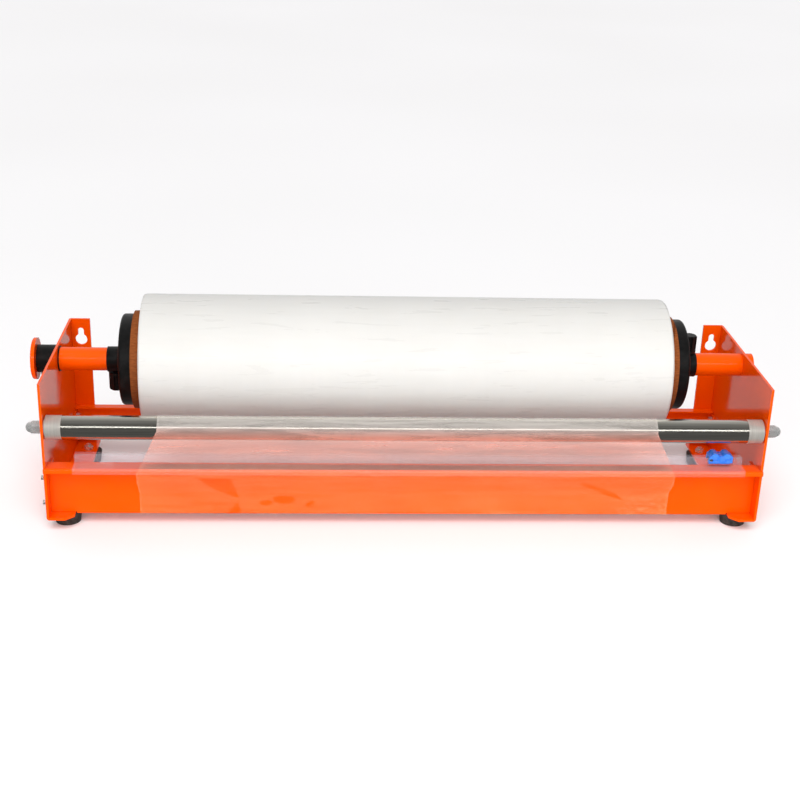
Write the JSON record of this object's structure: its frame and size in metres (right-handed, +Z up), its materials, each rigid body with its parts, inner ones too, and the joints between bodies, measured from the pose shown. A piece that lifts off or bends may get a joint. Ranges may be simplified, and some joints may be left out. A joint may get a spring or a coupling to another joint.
{
  "type": "cling film dispenser",
  "caption": "Bench or wall cling film dispenser: folded orange frame, film roll on two core chucks, steel guide roller and a clear track with a sliding cutter.",
  "frame": {"origin": "on the bench under the feet, midway between the side plates and midway along their depth", "axes": "+Z up, +X to the user's right along the roll, -Y towards the user, who stands at the lip"},
  "size_m": [0.6335, 0.1636, 0.176],
  "materials": {
    "orange_paint": "gloss powder coat",
    "roller_steel": "polished tube",
    "turned_aluminium": "satin turned",
    "zinc_steel": "bright zinc",
    "black_plastic": "moulded, fine grain",
    "core_board": "spiral-wound brown paper board",
    "film_roll_white": "wound clear film, milky white",
    "film_clear": "thin clear film",
    "track_clear": "clear extrusion",
    "tape_clear": "clear double-sided tape",
    "slider_blue": "moulded, translucent blue",
    "blade_steel": "ground",
    "foot_rubber": "matt",
    "nylon_white": "natural nylon"
  },
  "bodies": {
    "frame": {"left_side_plate": "orange_paint", "right_side_plate": "orange_paint", "front_rail": "orange_paint", "rear_rail": "orange_paint", "front_rail_screws": "zinc_steel", "front_rail_nuts": "zinc_steel", "rear_rail_screws": "zinc_steel", "rear_rail_nuts": "zinc_steel", "rubber_feet": "foot_rubber", "foot_screws": "zinc_steel", "foot_nuts": "zinc_steel", "right_spindle_tube": "orange_paint", "right_tube_insert": "zinc_steel", "right_axle_bolt": "zinc_steel", "left_guide_bush": "black_plastic", "roller_thrust_washers": "nylon_white", "roller_washers": "zinc_steel", "roller_acorn_nuts": "zinc_steel", "roller_rod": "zinc_steel", "cutter_track": "track_clear", "track_tape": "tape_clear", "track_end_stops": "track_clear", "film_feed_span": "film_clear", "film_roller_wrap": "film_clear", "film_drop_span": "film_clear", "film_tail": "film_clear"},
    "film_roll": {"film_winding": "film_roll_white", "paper_core": "core_board", "right_chuck": "black_plastic"},
    "right_drag_knob": {"right_drag_screw": "black_plastic"},
    "left_spindle": {"left_spindle_tube": "orange_paint", "left_tube_insert": "zinc_steel", "left_axle_bolt": "zinc_steel", "left_pull_disc": "orange_paint"},
    "left_core_chuck": {"left_chuck": "black_plastic"},
    "left_drag_knob": {"left_drag_screw": "black_plastic"},
    "lock_knob": {"spindle_lock_screw": "black_plastic"},
    "guide_roller": {"guide_roller_tube": "roller_steel", "roller_end_bushes": "turned_aluminium"},
    "cutter": {"cutter_slider": "slider_blue", "cutter_blade": "blade_steel"}
  },
  "joints": [
    {"name": "film_roll_spin", "type": "hinge", "parent": "frame", "child": "film_roll", "pos_m": [0, 0.012, 0.119], "axis": [1, 0, 0], "continuous": true},
    {"name": "guide_roller_spin", "type": "hinge", "parent": "frame", "child": "guide_roller", "pos_m": [0, -0.07, 0.0905], "axis": [1, 0, 0], "continuous": true},
    {"name": "left_spindle_slide", "type": "slide", "parent": "frame", "child": "left_spindle", "axis": [-1, 0, 0], "range_m": [0, 0.03]},
    {"name": "left_chuck_spin", "type": "hinge", "parent": "left_spindle", "child": "left_core_chuck", "pos_m": [-0.25, 0.012, 0.119], "axis": [1, 0, 0], "continuous": true},
    {"name": "cutter_slide", "type": "slide", "parent": "frame", "child": "cutter", "axis": [1, 0, 0], "range_m": [-0.5265, 0.0045]},
    {"name": "right_drag_screw_turn", "type": "hinge", "parent": "film_roll", "child": "right_drag_knob", "pos_m": [0.25025, 0.012, 0.135], "axis": [0, 0, 1], "range_deg": [0, 360]},
    {"name": "left_drag_screw_turn", "type": "hinge", "parent": "left_core_chuck", "child": "left_drag_knob", "pos_m": [-0.25025, 0.012, 0.103], "axis": [0, 0, -1], "range_deg": [0, 360]},
    {"name": "spindle_lock_screw_turn", "type": "hinge", "parent": "frame", "child": "lock_knob", "pos_m": [-0.308, 0.012, 0.1], "axis": [0, 0, -1], "range_deg": [0, 360]}
  ],
  "couplings": [
    {"joint": "guide_roller_spin", "follows": "film_roll_spin", "ratio": -5.7},
    {"joint": "left_chuck_spin", "follows": "film_roll_spin", "ratio": 1}
  ]
}
